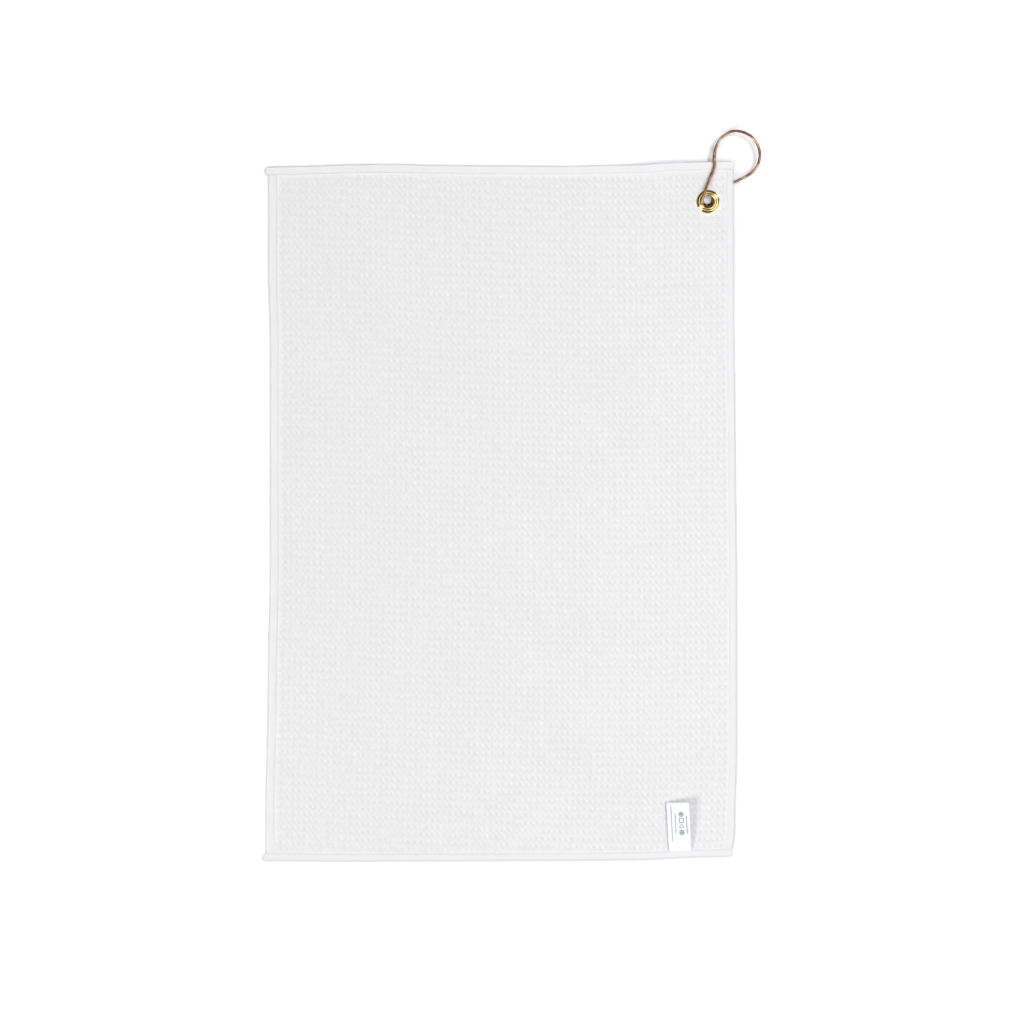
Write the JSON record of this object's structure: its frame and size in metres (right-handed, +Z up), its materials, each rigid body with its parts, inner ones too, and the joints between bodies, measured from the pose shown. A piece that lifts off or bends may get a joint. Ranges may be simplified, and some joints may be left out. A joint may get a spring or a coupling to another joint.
{
  "type": "golf towel",
  "caption": "Waffle-weave golf towel laid flat, with overlocked edges, a brass grommet, a swivelling bent-wire hook and a hinged ribbon care label.",
  "frame": {"origin": "on the surface the towel lies on, under the middle of the whole object's plan outline, hook included", "axes": "+Z up out of the upper face of the cloth, +Y along the towel's long side towards the end with the grommet, +X to the right seen from above"},
  "size_m": [0.4352, 0.6394, 0.0096],
  "materials": {
    "waffle_cloth": "matte waffle weave microfibre",
    "overlock_thread": "fine polyester thread",
    "grommet_brass": "bright lacquered brass",
    "hook_wire": "polished copper-coloured wire",
    "label_satin": "white satin ribbon"
  },
  "bodies": {
    "towel": {"towel_panel": "waffle_cloth", "overlock_top": "overlock_thread", "overlock_bottom": "overlock_thread", "overlock_left": "overlock_thread", "overlock_right": "overlock_thread", "grommet_eyelet": "grommet_brass", "grommet_washer": "grommet_brass"},
    "hook": {"hook": "hook_wire"},
    "care_label": {"care_label": "label_satin"}
  },
  "joints": [
    {"name": "hook_swivel", "type": "hinge", "parent": "towel", "child": "hook", "pos_m": [0.17143, 0.25701, 0.005], "axis": [0, 0, 1], "range_deg": [-130, 35]},
    {"name": "label_flap", "type": "hinge", "parent": "towel", "child": "care_label", "pos_m": [0.1472, -0.31, 0.0029], "axis": [0.999, 0.0436, 0], "range_deg": [0, 150]}
  ]
}
